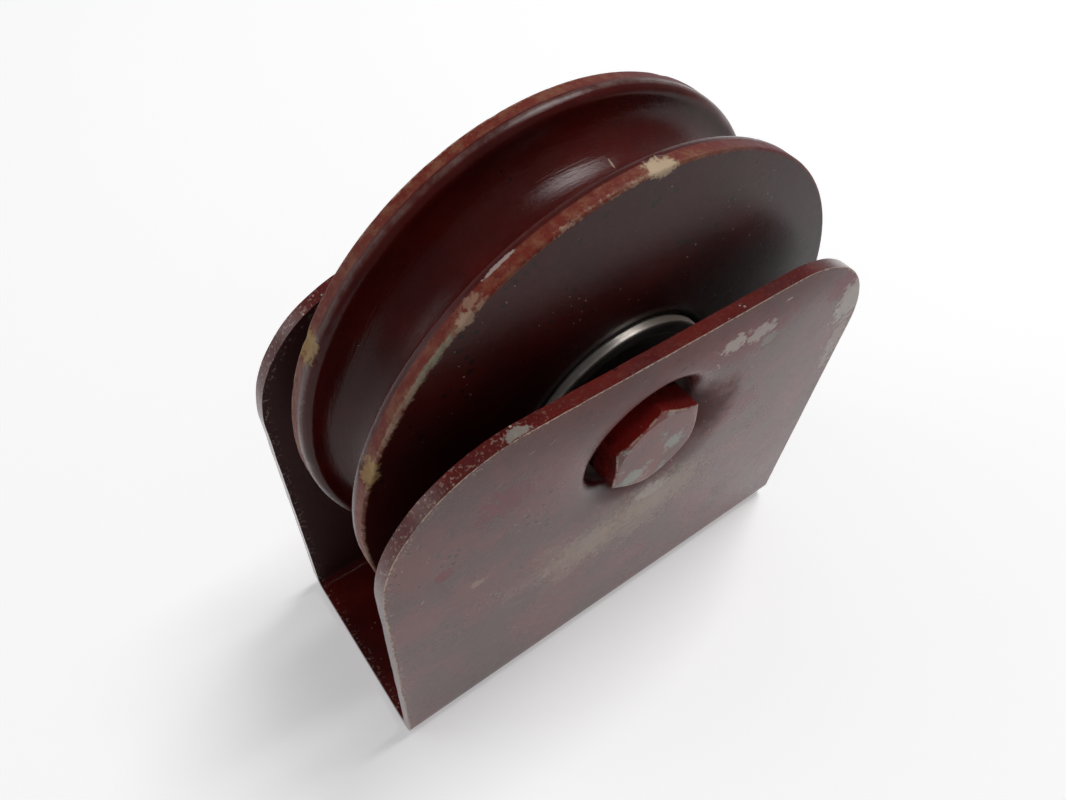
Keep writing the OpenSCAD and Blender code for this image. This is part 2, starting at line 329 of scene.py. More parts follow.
def set_finish(tree, shader, colour, rough, height=None, depth=mm, strength=1.0):
    """Links a material's colour, roughness and, if it has one, relief to its shader."""
    tree.links.new(colour, shader.inputs["Base Color"])
    tree.links.new(rough, shader.inputs["Roughness"])
    if height is not None:
        relief = node(tree, "ShaderNodeBump", {"Height": height, "Distance": depth, "Strength": strength})
        tree.links.new(relief.outputs[0], shader.inputs["Normal"])


# Paint film: two tones of brushed paint, clouds of dust, dark pits, pale specks and faint brush strokes
paint_film, given, made = new_group(
    "paint_film",
    [("Position", "Vector", None), ("Paint", "Color", (0.1, 0.01, 0.01, 1)), ("Deep", "Color", (0.05, 0.01, 0.01, 1)),
     ("Dust", "Color", (0.2, 0.17, 0.15, 1)), ("Dust share", "Float", 0.3), ("Pits", "Float", 0.5),
     ("Specks", "Float", 0.5), ("Gloss", "Float", 0.25)],
    [("Color", "Color"), ("Roughness", "Float"), ("Height", "Float")])
tree = paint_film
position = given["Position"]
mottle = ramp(tree, fine_noise(tree, position, 0.08, 6, 0.65), 0.36, 0.64)
colour = mix(tree, mottle, given["Deep"], given["Paint"])
cloud = ramp(tree, fine_noise(tree, position, 0.12, 8, 0.7), 0.34, 0.72)
grain = ramp(tree, fine_noise(tree, position, 2.2, 4, 0.7), 0.35, 0.7)
dust = times(tree, cloud, maths(tree, "ADD", times(tree, grain, 0.7), 0.6))
dust = times(tree, dust, given["Dust share"])
dust = node(tree, "ShaderNodeClamp", {0: dust}).outputs[0]
colour = mix(tree, dust, colour, given["Dust"])
cells = node(tree, "ShaderNodeTexVoronoi", {"Vector": position, "Scale": 0.5})
pit_size = ramp(tree, fine_noise(tree, position, 0.12, 3), 0.44, 0.64, 0.0, 0.24)
pit = maths(tree, "LESS_THAN", cells.outputs["Distance"], times(tree, pit_size, given["Pits"]))
colour = mix(tree, times(tree, pit, 0.8), colour, (0.012, 0.004, 0.004, 1))
flecks = node(tree, "ShaderNodeTexVoronoi", {"Vector": position, "Scale": 0.65})
fleck_size = ramp(tree, fine_noise(tree, position, 0.06, 3), 0.44, 0.66, 0.0, 0.2)
fleck = maths(tree, "LESS_THAN", flecks.outputs["Distance"], times(tree, fleck_size, given["Specks"]))
colour = mix(tree, times(tree, fleck, 0.6), colour, (0.6, 0.52, 0.44, 1))
tree.links.new(colour, made["Color"])
brushed = node(tree, "ShaderNodeMapping", {"Vector": position, "Scale": (0.55, 0.8, 0.8), "Rotation": (0, 0.45, 0.1)})
strokes = fine_noise(tree, brushed.outputs[0], 1.0, 5)
uneven = times(tree, maths(tree, "SUBTRACT", strokes, 0.5), 0.15)
gloss = maths(tree, "ADD", maths(tree, "ADD", given["Gloss"], uneven), times(tree, dust, 0.35))
tree.links.new(maths(tree, "ADD", gloss, times(tree, fleck, 0.3)), made["Roughness"])
height = maths(tree, "ADD", times(tree, strokes, 0.03), times(tree, grain, 0.012))
height = worn_down(tree, height, maths(tree, "ADD", pit, fleck), 0.1)
tree.links.new(height, made["Height"])

# Ragged patch: a worn or chipped place of a given middle and reach, broken up into flakes towards its edge
ragged_patch, given, made = new_group(
    "ragged_patch",
    [("Position", "Vector", None), ("Middle", "Vector", (0, 0, 0)), ("Reach", "Vector", (1, 1, 1)),
     ("Break", "Float", 2.0), ("Flaking", "Float", 0.5), ("Soft", "Float", 0.12)],
    [("Mask", "Float")])
tree = ragged_patch
patch_edge = 0.8
away = vector_maths(tree, "SUBTRACT", given["Position"], given["Middle"])
away = vector_maths(tree, "LENGTH", vector_maths(tree, "DIVIDE", away, given["Reach"]))
broken = times(tree, maths(tree, "SUBTRACT", given["Flaking"], 0.5), given["Break"])
away = maths(tree, "ADD", away, broken)
inner = maths(tree, "SUBTRACT", patch_edge, given["Soft"])
outer = maths(tree, "ADD", patch_edge, given["Soft"])
tree.links.new(inverse(tree, ramp(tree, away, inner, outer)), made["Mask"])

# Rubbed edge: paint gone in broken lengths along an edge, from a distance to that edge
rubbed_edge, given, made = new_group(
    "rubbed_edge",
    [("Position", "Vector", None), ("Distance", "Float", 0.0), ("Width", "Float", 0.5), ("Share", "Float", 0.5)],
    [("Mask", "Float")])
tree = rubbed_edge
near = fine_noise(tree, given["Position"], 1.3, 5, 0.7)
far = fine_noise(tree, given["Position"], 0.14, 4, 0.6)
along = maths(tree, "ADD", times(tree, far, 0.65), times(tree, near, 0.35))
start = maths(tree, "SUBTRACT", 0.7, times(tree, given["Share"], 0.4))
along = ramp(tree, along, start, maths(tree, "ADD", start, 0.1))
reach = times(tree, given["Width"], ramp(tree, near, 0.3, 0.7, 0.3, 1.7))
near_edge = inverse(tree, ramp(tree, given["Distance"], times(tree, reach, 0.5), reach))
tree.links.new(times(tree, near_edge, along), made["Mask"])

# Scratches: thin broken lines that bend and gather in places
scratch_bend = 45
fine_scratches, given, made = new_group(
    "fine_scratches",
    [("Position", "Vector", None), ("Turn", "Vector", (0, 0, 0)), ("Share", "Float", 0.5)], [("Mask", "Float")])
tree = fine_scratches
bent = node(tree, "ShaderNodeTexNoise", {"Vector": given["Position"], "Scale": 0.04, "Detail": 1.0}).outputs["Color"]
bent = vector_maths(tree, "SUBTRACT", bent, (0.5, 0.5, 0.5))
bent = vector_maths(tree, "MULTIPLY", bent, (scratch_bend, scratch_bend, scratch_bend))
bent = vector_maths(tree, "ADD", given["Position"], bent)
lengthways = node(tree, "ShaderNodeMapping", {
    "Vector": bent, "Rotation": given["Turn"], "Scale": (0.05, 0.5, 1.9)}).outputs[0]
lines = fine_noise(tree, lengthways, 1.0, 2, 0.5)
start = maths(tree, "SUBTRACT", 0.74, times(tree, given["Share"], 0.08))
lines = ramp(tree, lines, start, maths(tree, "ADD", start, 0.02))
lines = times(tree, lines, ramp(tree, fine_noise(tree, given["Position"], 0.07, 3), 0.46, 0.6))
lines = times(tree, lines, ramp(tree, fine_noise(tree, given["Position"], 0.5, 4), 0.4, 0.6))
tree.links.new(lines, made["Mask"])

oxide_red = (0.175, 0.0115, 0.008, 1)
deep_red = (0.085, 0.008, 0.0065, 1)
road_dust = (0.22, 0.16, 0.12, 1)
bare_pale = (0.78, 0.73, 0.65, 1)
primer_green = (0.36, 0.4, 0.34, 1)
rubbed_beige = (0.58, 0.46, 0.36, 1)
old_crimson = (0.26, 0.014, 0.035, 1)
arris_beige = (0.4, 0.26, 0.18, 1)
plate_arris = (0.72, 0.56, 0.42, 1)
edge_red = (0.125, 0.009, 0.006, 1)
# The next colour is painted shade for the plates' inner faces.
shaded_inner_red = (0.042, 0.005, 0.0045, 1)
# The next colour is near black, painted shade for the dish.
dish_shade_colour = (0.02, 0.007, 0.006, 1)
scratch_dark = (0.02, 0.005, 0.005, 1)

bracket_paint, tree, shader, position = new_material("bracket_paint_worn")
facing = split(tree, node(tree, "ShaderNodeNewGeometry").outputs["Normal"])
sideways = maths(tree, "ABSOLUTE", facing["Y"])
place_y = split(tree, position)["Y"]
plate_out = bracket_high.y / mm
plate_in = (bracket_high.y - sheet) / mm
from_middle = maths(tree, "ABSOLUTE", place_y)
outside = ramp(tree, from_middle, plate_out - 1.3, plate_out - 0.3)
flat_side = ramp(tree, sideways, 0.6, 0.95)
outward = times(tree, outside, flat_side)
inward = times(tree, inverse(tree, ramp(tree, from_middle, plate_in + 0.1, plate_in + 0.5)), flat_side)

# Dull place in the middle of a plate's top, where the gloss is gone
dull_middle = (6, 0, 92)
dull = vector_maths(tree, "SUBTRACT", position, dull_middle)
dull = vector_maths(tree, "LENGTH", vector_maths(tree, "MULTIPLY", dull, (0.32, 0, 1)))
dull = times(tree, ramp(tree, dull, 6, 26, 0.6, 0.0), outward)
painted_gloss = ramp(tree, flat_side, 0, 1, 0.13, 0.2)
# On the plates' inner faces the paint is a far darker red: painted shade inside the bracket.
film = place(tree, paint_film, {
    "Position": position, "Paint": mix(tree, inward, mix(tree, flat_side, edge_red, oxide_red), shaded_inner_red),
    "Deep": mix(tree, inward, deep_red, shaded_inner_red), "Dust": road_dust,
    "Gloss": ramp(tree, maths(tree, "MAXIMUM", dull, inward), 0, 1, painted_gloss, 0.65),
    "Pits": 0.9, "Specks": ramp(tree, inward, 0, 1, 0.8, 0.2), "Dust share": times(tree, outward, 0.24)})
colour, rough, height = film["Color"], film["Roughness"], film["Height"]
colour = mix(tree, times(tree, dull, 0.9), colour, deep_red)

# Worn places on the front plate, in millimetres: middle and reach over the plate, what shows there,
# how broken up it is, the scale of the breaks, how soft its edge is, and its strength
front = bracket_low.y / mm
worn_places = [
    ((18, 79), (12, 5.5), old_crimson, 3.0, 0.45, 0.3, 0.3),
    ((15, 80.3), (3.6, 2.4), bare_pale, 2.8, 0.9, 0.12, 0.55),
    ((21.5, 79.2), (4.2, 2.3), bare_pale, 3.0, 0.9, 0.12, 0.5),
    ((24.8, 75.6), (2.4, 1.9), primer_green, 2.6, 0.9, 0.12, 0.5),
    ((44, 79), (5.5, 5), old_crimson, 3.0, 0.5, 0.25, 0.5),
    ((48, 73), (4.5, 8), bare_pale, 3.2, 0.7, 0.15, 0.6),
    ((50, 60), (2.6, 9), bare_pale, 3.4, 0.6, 0.2, 0.4),
    ((-2, 39), (22, 9), rubbed_beige, 3.0, 0.22, 0.6, 0.35),
    ((-11, 39), (11, 6), rubbed_beige, 4.6, 0.8, 0.3, 0.4),
    ((7, 41), (13, 6), rubbed_beige, 4.6, 0.8, 0.3, 0.4),
    ((-42, 62), (2.1, 1.9), old_crimson, 2.2, 0.7, 0.15, 0.5),
    ((-31, 73), (6, 4.5), old_crimson, 3.4, 0.6, 0.2, 0.4),
    ((-36, 52), (1.6, 1.4), rubbed_beige, 2.2, 0.8, 0.12, 0.45),
    ((4, 45), (5, 2.2), bare_pale, 3.2, 0.9, 0.12, 0.4),
    ((24, 58), (6, 5), old_crimson, 3.6, 0.4, 0.3, 0.25),
]
flakes = {scale: flaking(tree, position, scale) for scale in sorted({row[4] for row in worn_places})}
for (x, z), (reach_x, reach_z), finish, ragged, scale, soft, strength in worn_places:
    mask = place(tree, ragged_patch, {
        "Position": position, "Middle": (x, front, z), "Reach": (reach_x, 2, reach_z),
        "Break": ragged, "Flaking": flakes[scale], "Soft": soft})["Mask"]
    mask = times(tree, mask, strength)
    colour = mix(tree, mask, colour, finish)
    rough = mix_value(tree, mask, rough, 0.5)
    height = worn_down(tree, height, mask, 0.05)
for turn, share, finish in ((0.6, 0.2, bare_pale), (-0.35, 0.3, scratch_dark), (1.9, 0.3, bare_pale)):
    mask = place(tree, fine_scratches, {"Position": position, "Turn": (0, turn, 0), "Share": share})["Mask"]
    mask = times(tree, times(tree, mask, outward), 0.5)
    colour = mix(tree, mask, colour, finish)
    height = worn_down(tree, height, mask, 0.05)

# Painted shade in the dish: near black and rough on its floor and low on its right, where the dish lies in shade
axle_away = about_axle(tree, position)[1]
dish_shade = inverse(tree, ramp(tree, from_middle, plate_in - 2.0, plate_in - 0.3))
dish_shade = times(tree, dish_shade, ramp(tree, axle_away, 14, 18, 1.0, 0.0))
shade_right_of_dish = place(tree, ragged_patch, {
    "Position": position, "Middle": (15.5, front + 1.5, 62), "Reach": (6, 4, 8), "Break": 1.4,
    "Flaking": flaking(tree, position, 0.3), "Soft": 0.5})["Mask"]
dish_shade = maths(tree, "MAXIMUM", times(tree, dish_shade, 0.85), times(tree, shade_right_of_dish, 0.6))
colour = mix(tree, dish_shade, colour, dish_shade_colour)
rough = mix_value(tree, dish_shade, rough, 0.9)

# Arris of the sheared edge, where hands and stones have rubbed the paint off
edge_mm = node(tree, "ShaderNodeAttribute", attribute_name="edge_mm").outputs["Fac"]
turned = times(tree, ramp(tree, sideways, 0.3, 0.55), outside)
place_x = split(tree, position)["X"]
rubbed = place(tree, rubbed_edge, {
    "Position": position, "Distance": edge_mm, "Width": 0.45,
    "Share": ramp(tree, place_x, -45, -10, 0.7, 0.8)})["Mask"]
rubbed = times(tree, rubbed, turned)
speckle = ramp(tree, fine_noise(tree, position, 1.5, 4, 0.7), 0.55, 0.63)
speckle = times(tree, speckle, inverse(tree, ramp(tree, edge_mm, 0.8, 2.2)))
speckle = times(tree, speckle, ramp(tree, place_x, -48, -12, 0.42, 0.05))
colour = mix(tree, speckle, colour, rubbed_beige)
top_chip = place(tree, ragged_patch, {
    "Position": position, "Middle": (-28.6, -20.6, bracket_high.z / mm), "Reach": (2.4, 1.1, 0.9),
    "Break": 3.0, "Flaking": flaking(tree, position, 1.2)})["Mask"]
rubbed = maths(tree, "MAXIMUM", times(tree, rubbed, 0.8), times(tree, top_chip, 0.45))
colour = mix(tree, rubbed, colour, mix(tree, top_chip, plate_arris, primer_green))
rough = mix_value(tree, rubbed, rough, 0.55)
height = worn_down(tree, height, rubbed, 0.05)
set_finish(tree, shader, colour, rough, height, strength=0.8)
shader.inputs["Specular IOR Level"].default_value = 0.41
bracket.data.materials.append(bracket_paint)

# Wheel: one turned steel piece with a round groove for the rail, and a bored seat for two bearings.
# Dipped in the same gloss paint, darker here. The flange rims are chipped and rubbed where they meet the rail.
wheel_low, wheel_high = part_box("wheel")
wheel_r = (wheel_high.x - wheel_low.x) / 2
half_w = wheel_high.y
seat_r = 20.01 * mm
seat_bevel = 0.6 * mm
rib_r = 18.21 * mm
rib_half = 1.2 * mm
rim_round = 0.5 * mm
groove_lip = 1.8 * mm
groove_r = 7.2 * mm
groove_centre = 47.9 * mm
wheel_steps = 600
nick_depth = 0.22 * mm
nick_size = 3.2 * mm


def turned_piece(name, section, steps, shift, body, stands_for):
    """A closed section, given as distance from the axle and place along it, turned about the axle.

    The shift gives a row of points its chips."""
    rows = []
    for turn in np.linspace(0, 2 * math.pi, steps, endpoint=False):
        row = np.stack([section[:, 0] * math.sin(turn), section[:, 1], section[:, 0] * math.cos(turn)], 1)
        rows.append(shift(row, turn) if shift else row)
    points = np.concatenate(rows) + [0, 0, axle_z]
    index = np.arange(len(points)).reshape(steps, -1)
    index = np.concatenate([index, index[:1]])
    return add_piece(name, points, grid_faces(index, True), body, stands_for)


round_r, round_y = wheel_r - rim_round, half_w - rim_round
lip_y = groove_r + groove_lip
near_half = np.concatenate([
    line((rib_r, 0), (rib_r, -rib_half), rib_half),
    line((rib_r, -rib_half), (seat_r, -rib_half), seat_r - rib_r),
    line((seat_r, -rib_half), (seat_r, seat_bevel - half_w), 3 * mm),
    line((seat_r, seat_bevel - half_w), (seat_r + seat_bevel, -half_w), seat_bevel),
    line((seat_r + seat_bevel, -half_w), (round_r - 2 * mm, -half_w), 2.2 * mm),
    line((round_r - 2 * mm, -half_w), (round_r, -half_w), 0.35 * mm),
    arc((round_r, -round_y), rim_round, -90, 0, 6)[:-1],
    line((wheel_r, -round_y), (wheel_r, -lip_y), 0.35 * mm),
    arc((wheel_r - groove_lip, -lip_y), groove_lip, 0, 90, 9),
    arc((groove_centre, 0), groove_r, 270, 180, 26),
])
wheel_section = np.concatenate([near_half, (near_half[1:-1] * [1, -1])[::-1]])
rim_share = np.clip((wheel_section[:, 0] - round_r + 1.2 * mm) / (1.2 * mm), 0, 1)

# Chips on the rims, each by its turn from the top, place along the axle, reach and depth
deep_chips = [(-63, 10.2, 2.6, 0.45), (-69.5, -10.9, 2.4, 0.5), (0, -10.9, 2.3, 0.35), (-38, -11.4, 1.4, 0.2)]


def chipped(row, turn):
    """A turn of the wheel with its rims nicked and chipped."""
    nick = nick_depth * np.clip(noise_at(row, nick_size, 3) - 0.25, 0, 1)
    for chip_turn, chip_y, reach, depth in deep_chips:
        along = (turn - math.radians(chip_turn) + math.pi) % (2 * math.pi) - math.pi
        away = np.hypot(along * wheel_r, wheel_section[:, 1] - chip_y * mm) / (reach * mm)
        if away.min() < 1.6:
            away += 0.5 * noise_at(row, 1.5 * mm, 4)
            nick += depth * mm * np.clip(1.1 - away, 0, 1)
    kept = 1 - nick * rim_share / wheel_section[:, 0]
    return row * np.stack([kept, np.ones(len(row)), kept], 1)


wheel = turned_piece("painted_wheel", wheel_section, wheel_steps, chipped, "wheel", "wheel")

chip_ochre = (0.42, 0.27, 0.11, 1)
chip_beige = (0.58, 0.44, 0.29, 1)
rim_red = (0.17, 0.02, 0.01, 1)
rim_brown = (0.23, 0.08, 0.042, 1)
plum_reflection_tint = (0.13, 0.034, 0.045, 1)
# The next colour is grey: a painted highlight on the back lip, and a grey patch on the back land.
grey_sheen_and_wear = (0.24, 0.185, 0.165, 1)
groove_red = (0.078, 0.0055, 0.004, 1)
groove_deep = (0.055, 0.004, 0.0035, 1)
# The next colour, for the wheel's side faces, is darker than the groove's: painted shade.
shaded_face_red = (0.04, 0.005, 0.0045, 1)
face_smudge = (0.075, 0.006, 0.007, 1)
# The next colour is grime and painted shade for the mouth of the bearing seat.
seat_grime_and_shade = (0.008, 0.005, 0.004, 1)
arris_green = (0.24, 0.27, 0.19, 1)
chip_pale = (0.5, 0.42, 0.38, 1)

wheel_paint, tree, shader, position = new_material("wheel_paint_worn")
parts, radius = about_axle(tree, position)
side_y = maths(tree, "ABSOLUTE", parts["Y"])
rim = wheel_r / mm
face = half_w / mm
round_mm = times(tree, maths(tree, "ARCTAN2", parts["X"], parts["Z"]), rim)
unrolled = node(tree, "ShaderNodeCombineXYZ", {0: round_mm, 1: parts["Y"], 2: radius}).outputs[0]
on_face = ramp(tree, side_y, face - 0.25, face - 0.05)
# The side faces take the darker red, painted shade, and the groove the lighter one.
film = place(tree, paint_film, {
    "Position": position, "Paint": mix(tree, on_face, groove_red, shaded_face_red), "Deep": groove_deep, "Dust": road_dust,
    "Gloss": ramp(tree, on_face, 0, 1, 0.17, 0.3), "Pits": ramp(tree, on_face, 0, 1, 0.5, 1.3),
    "Specks": times(tree, on_face, 0.45), "Dust share": 0.04})
colour, rough, height = film["Color"], film["Roughness"], film["Height"]

# Grime and painted shade at the mouth of the bearing seat, near black in the crevice between ring and wheel
grimy_and_shaded = times(tree, ramp(tree, side_y, face - 0.85, face - 0.65), inverse(tree, ramp(tree, radius, 20.7, 21.6)))
colour = mix(tree, grimy_and_shaded, colour, seat_grime_and_shade)
rough = mix_value(tree, grimy_and_shaded, rough, 0.9)

# Groove: marks of the lathe and of the rail under the paint
turning = node(tree, "ShaderNodeMapping", {"Vector": unrolled, "Scale": (0.12, 2.4, 0.0)}).outputs[0]
turning = times(tree, fine_noise(tree, turning, 1.0, 4, 0.7), ramp(tree, on_face, 0, 1, 0.09, 0.0))
height = maths(tree, "ADD", height, turning)

# Rims: redder and thinner paint, browned and flecked, and tinted plum on the right, a painted reflection of the grey
# room
land = times(tree, ramp(tree, radius, rim - 0.7, rim - 0.3), ramp(tree, side_y, 9.1, 9.6))
browned = ramp(tree, fine_noise(tree, position, 0.4, 7, 0.75), 0.42, 0.62)
land_colour = mix(tree, browned, rim_red, rim_brown)
land_colour = mix(tree, ramp(tree, round_mm, 5, 20, 0.0, 0.75), land_colour, plum_reflection_tint)
dark_flecks = ramp(tree, fine_noise(tree, position, 1.1, 5, 0.75), 0.56, 0.66, 0.0, 0.7)
land_colour = mix(tree, dark_flecks, land_colour, groove_deep)
elsewhere = vector_maths(tree, "ADD", position, (7, 3, 5))
pale_flecks = ramp(tree, fine_noise(tree, elsewhere, 1.3, 5, 0.75), 0.64, 0.7, 0.0, 0.6)
land_colour = mix(tree, pale_flecks, land_colour, arris_beige)
colour = mix(tree, times(tree, land, 0.9), colour, land_colour)
rough = mix_value(tree, land, rough, 0.5)
height = worn_down(tree, height, times(tree, land, dark_flecks), 0.03)


def edge_away(radius_at, y_at):
    """Distance in millimetres to an edge that runs round the wheel, on both its sides."""
    across = maths(tree, "SUBTRACT", radius, radius_at)
    along = maths(tree, "SUBTRACT", side_y, y_at)
    squares = maths(tree, "ADD", times(tree, across, across), times(tree, along, along))
    return maths(tree, "POWER", squares, 0.5)


# Back lip given a broken grey line, a painted highlight along its curve; front and back arrises rubbed in broken
# lengths
lip_sheen = ramp(tree, edge_away(rim - 0.15, 8.6), 0.15, 0.75, 1.0, 0.0)
uneven = ramp(tree, fine_noise(tree, position, 0.25, 5, 0.65), 0.32, 0.68, 0.05, 0.45)
lip_sheen = times(tree, lip_sheen, uneven)
lip_sheen = times(tree, lip_sheen, ramp(tree, parts["Y"], 0, 1))
colour = mix(tree, lip_sheen, colour, grey_sheen_and_wear)
rubbed = place(tree, rubbed_edge, {
    "Position": position, "Distance": edge_away(rim - 0.1, face - 0.1), "Width": 0.5, "Share": 0.6})["Mask"]
rubbed = times(tree, rubbed, ramp(tree, round_mm, -2, 5, 0.75, 0.15))
colour = mix(tree, rubbed, colour, arris_beige)
rough = mix_value(tree, rubbed, rough, 0.5)
height = worn_down(tree, height, rubbed, 0.04)

# Worn places on the wheel: turn from the top, place along the axle and distance from it, then reach,
# what shows there, how broken up it is, how soft its edge is, and its strength
worn_places = [
    ((-46, -11.5, 50), (8, 0.5, 1.0), arris_green, 3.0, 0.4, 0.6),
    ((-56, -11.5, 50), (7, 0.5, 1.0), arris_beige, 3.4, 0.3, 0.5),
    ((-29, -9.3, 50), (3.4, 0.4, 1), chip_pale, 1.6, 0.12, 0.7),
    ((-36, -10.3, 50), (2.0, 0.9, 1), arris_beige, 5.0, 0.2, 0.5),
    ((-70, 9.5, 50), (9, 1.4, 1.5), grey_sheen_and_wear, 3.0, 0.2, 0.3),
    ((3.5, -11.8, 30), (9, 1, 2.4), face_smudge, 1.6, 0.5, 0.35),
    ((26, -11.8, 39), (7, 1, 2.6), face_smudge, 1.6, 0.5, 0.3),
    ((13, -7.6, 49), (7, 1.2, 2), face_smudge, 2.6, 0.3, 0.5),
    ((5.5, 2.2, 41), (0.3, 1.1, 1.2), chip_beige, 1.0, 0.15, 0.5),
]
for (chip_turn, chip_y, reach, depth), finish in zip(deep_chips, (chip_ochre, chip_ochre, chip_beige, arris_beige)):
    worn_places.append(((chip_turn, chip_y, 50), (reach * 1.3, reach * 0.9, 1.6), finish, 2.4, 0.2, 0.9))
flakes = flaking(tree, unrolled, 0.9)
for (turn, y, r), (along, across, deep), finish, ragged, soft, strength in worn_places:
    mask = place(tree, ragged_patch, {
        "Position": unrolled, "Middle": (math.radians(turn) * rim, y, r), "Reach": (along, across, deep),
        "Break": ragged, "Flaking": flakes, "Soft": soft})["Mask"]
    mask = times(tree, mask, strength)
    colour = mix(tree, mask, colour, finish)
    rough = mix_value(tree, times(tree, mask, strength), rough, 0.6)
    height = worn_down(tree, height, mask, 0.06)
set_finish(tree, shader, colour, rough, height, strength=0.7)
shader.inputs["Specular IOR Level"].default_value = 0.2
wheel.data.materials.append(wheel_paint)

# Bearing rings: two deep-groove ball bearings pressed into the wheel, of hardened and ground steel.
# The outer rings stand a little out of the wheel's sides. They are bare, with fine turning marks and some grime, and
# carry painted shade: darker towards the right and near black on their end faces, where there is also grease.
ring_od_r = 20 * mm
ring_round = 0.6 * mm
ring_half = 6 * mm
bearing_y = 7.2 * mm
shoulder_r = 16.3 * mm
recess_r = 17.3 * mm
bead_r = 17.7 * mm
shelf_y = 4.89 * mm
bead_y = 5.41 * mm
race_r = 3.508 * mm
race_centre = 14.167 * mm
race_half = math.degrees(math.acos((shoulder_r - race_centre) / race_r))
upper = np.concatenate([
    arc((race_centre, 0), race_r, 0, race_half, 8),
    [[shoulder_r, shelf_y], [bead_r, shelf_y], [bead_r, bead_y], [recess_r, bead_y],
     [recess_r, ring_half - 0.15 * mm], [recess_r + 0.15 * mm, ring_half]],
    line((recess_r + 0.6 * mm, ring_half), (ring_od_r - ring_round, ring_half), 0.5 * mm),
    arc((ring_od_r - ring_round, ring_half - ring_round), ring_round, 90, 0, 6),
])
ring_section = np.concatenate([upper, (upper[1:] * [1, -1])[::-1]])[::-1]

ring_steel, tree, shader, position = new_material("ring_steel_ground")
parts, radius = about_axle(tree, position)
across = node(tree, "ShaderNodeCombineXYZ", {0: radius, 1: parts["Y"]}).outputs[0]
lathe = fine_noise(tree, across, 7.0, 3)
grime_and_shade = ramp(tree, fine_noise(tree, position, 0.3, 6, 0.7), 0.42, 0.7)
# Painted shade: the ring is darkened towards the right so that it shows bright only on the left.
grime_and_shade = maths(tree, "MAXIMUM", grime_and_shade, ramp(tree, parts["X"], -4, 9, 0.0, 1.4))
# The rings' end faces are made near black and not metallic: grease, and painted shade for the dark that they mirror.
grease_and_shade = times(tree, ramp(tree, maths(tree, "ABSOLUTE", parts["Y"]), 12.9, 13.1), 0.9)
worn = mix(tree, times(tree, grime_and_shade, 0.5), (0.7, 0.64, 0.58, 1), (0.2, 0.13, 0.09, 1))
colour = mix(tree, grease_and_shade, worn, (0.012, 0.008, 0.006, 1))
rough = maths(tree, "ADD", ramp(tree, lathe, 0.3, 0.7, 0.36, 0.46), times(tree, grime_and_shade, 0.1))
set_finish(tree, shader, colour, rough, lathe, 0.02 * mm)
bare = inverse(tree, maths(tree, "MAXIMUM", grease_and_shade, times(tree, grime_and_shade, 0.3)))
tree.links.new(bare, shader.inputs["Metallic"])
shader.inputs["Anisotropic"].default_value = 0.8
shader.inputs["Anisotropic Rotation"].default_value = 0.25
around = node(tree, "ShaderNodeTangent", direction_type="RADIAL", axis="Y").outputs[0]
tree.links.new(around, shader.inputs["Tangent"])
for side, sign in (("front", -1), ("back", 1)):
    section = ring_section + [0, sign * bearing_y]
    ring = turned_piece("ground_outer_ring_" + side, section, 180, None, "wheel", "outer_ring_" + side)
    ring.data.materials.append(ring_steel)
    frame["nodes"]["inner_ring_" + side].data.materials[0] = ring_steel

# Seals: moulded black rubber discs that snap into the outer rings and keep the grease in.
# Road dust lies on the faces that can be seen.
seal_rubber, tree, shader, position = new_material("seal_rubber_dusty")
dust = ramp(tree, fine_noise(tree, position, 0.3, 6, 0.7), 0.4, 0.75, 0.0, 0.5)
colour = mix(tree, dust, (0.012, 0.011, 0.011, 1), (0.09, 0.07, 0.06, 1))
rough = maths(tree, "ADD", 0.5, times(tree, dust, 0.4))
set_finish(tree, shader, colour, rough, fine_noise(tree, position, 3.0), 0.05 * mm)
for side in ("front", "back"):
    for seal in ("seal_outer_", "seal_inner_"):
        frame["nodes"][seal + side].data.materials[0] = seal_rubber

# Cages, rivets and balls: pressed steel halves riveted together round eight polished balls.
# They run in grease behind the seals, so they stay bright under a thin brown film.
cage_steel, tree, shader, position = new_material("cage_steel_pressed")
film_of_grease = ramp(tree, fine_noise(tree, position, 0.5, 4), 0.4, 0.7, 0.0, 0.5)
colour = mix(tree, film_of_grease, (0.5, 0.49, 0.47, 1), (0.2, 0.13, 0.06, 1))
set_finish(tree, shader, colour, maths(tree, "ADD", 0.3, times(tree, film_of_grease, 0.3)))
shader.inputs["Metallic"].default_value = 1.0
ball_steel, tree, shader, position = new_material("ball_steel_polished")
film_of_grease = ramp(tree, fine_noise(tree, position, 0.6, 4), 0.45, 0.7, 0.0, 0.3)
colour = mix(tree, film_of_grease, (0.72, 0.72, 0.72, 1), (0.3, 0.2, 0.09, 1))
set_finish(tree, shader, colour, maths(tree, "ADD", 0.06, times(tree, film_of_grease, 0.4)))
shader.inputs["Metallic"].default_value = 1.0
for name, solid in frame["nodes"].items():
    if name.startswith("cage_"):
        solid.data.materials[0] = cage_steel
    if name.startswith("ball_"):
        solid.data.materials[0] = ball_steel

# Axle sleeve: a turned steel tube that carries the inner rings and takes the bolt's clamping.
# Bare and greasy, it shows only in the gaps beside the bearings.
sleeve_steel, tree, shader, position = new_material("sleeve_steel_turned")
drawn_out = node(tree, "ShaderNodeMapping", {"Vector": position, "Scale": (2.0, 0.1, 2.0)}).outputs[0]
streaks = fine_noise(tree, drawn_out, 1.0, 3)
colour = mix(tree, streaks, (0.34, 0.33, 0.32, 1), (0.16, 0.11, 0.08, 1))
set_finish(tree, shader, colour, ramp(tree, streaks, 0.3, 0.7, 0.3, 0.55))
shader.inputs["Metallic"].default_value = 1.0
frame["nodes"]["axle_sleeve"].data.materials[0] = sleeve_steel

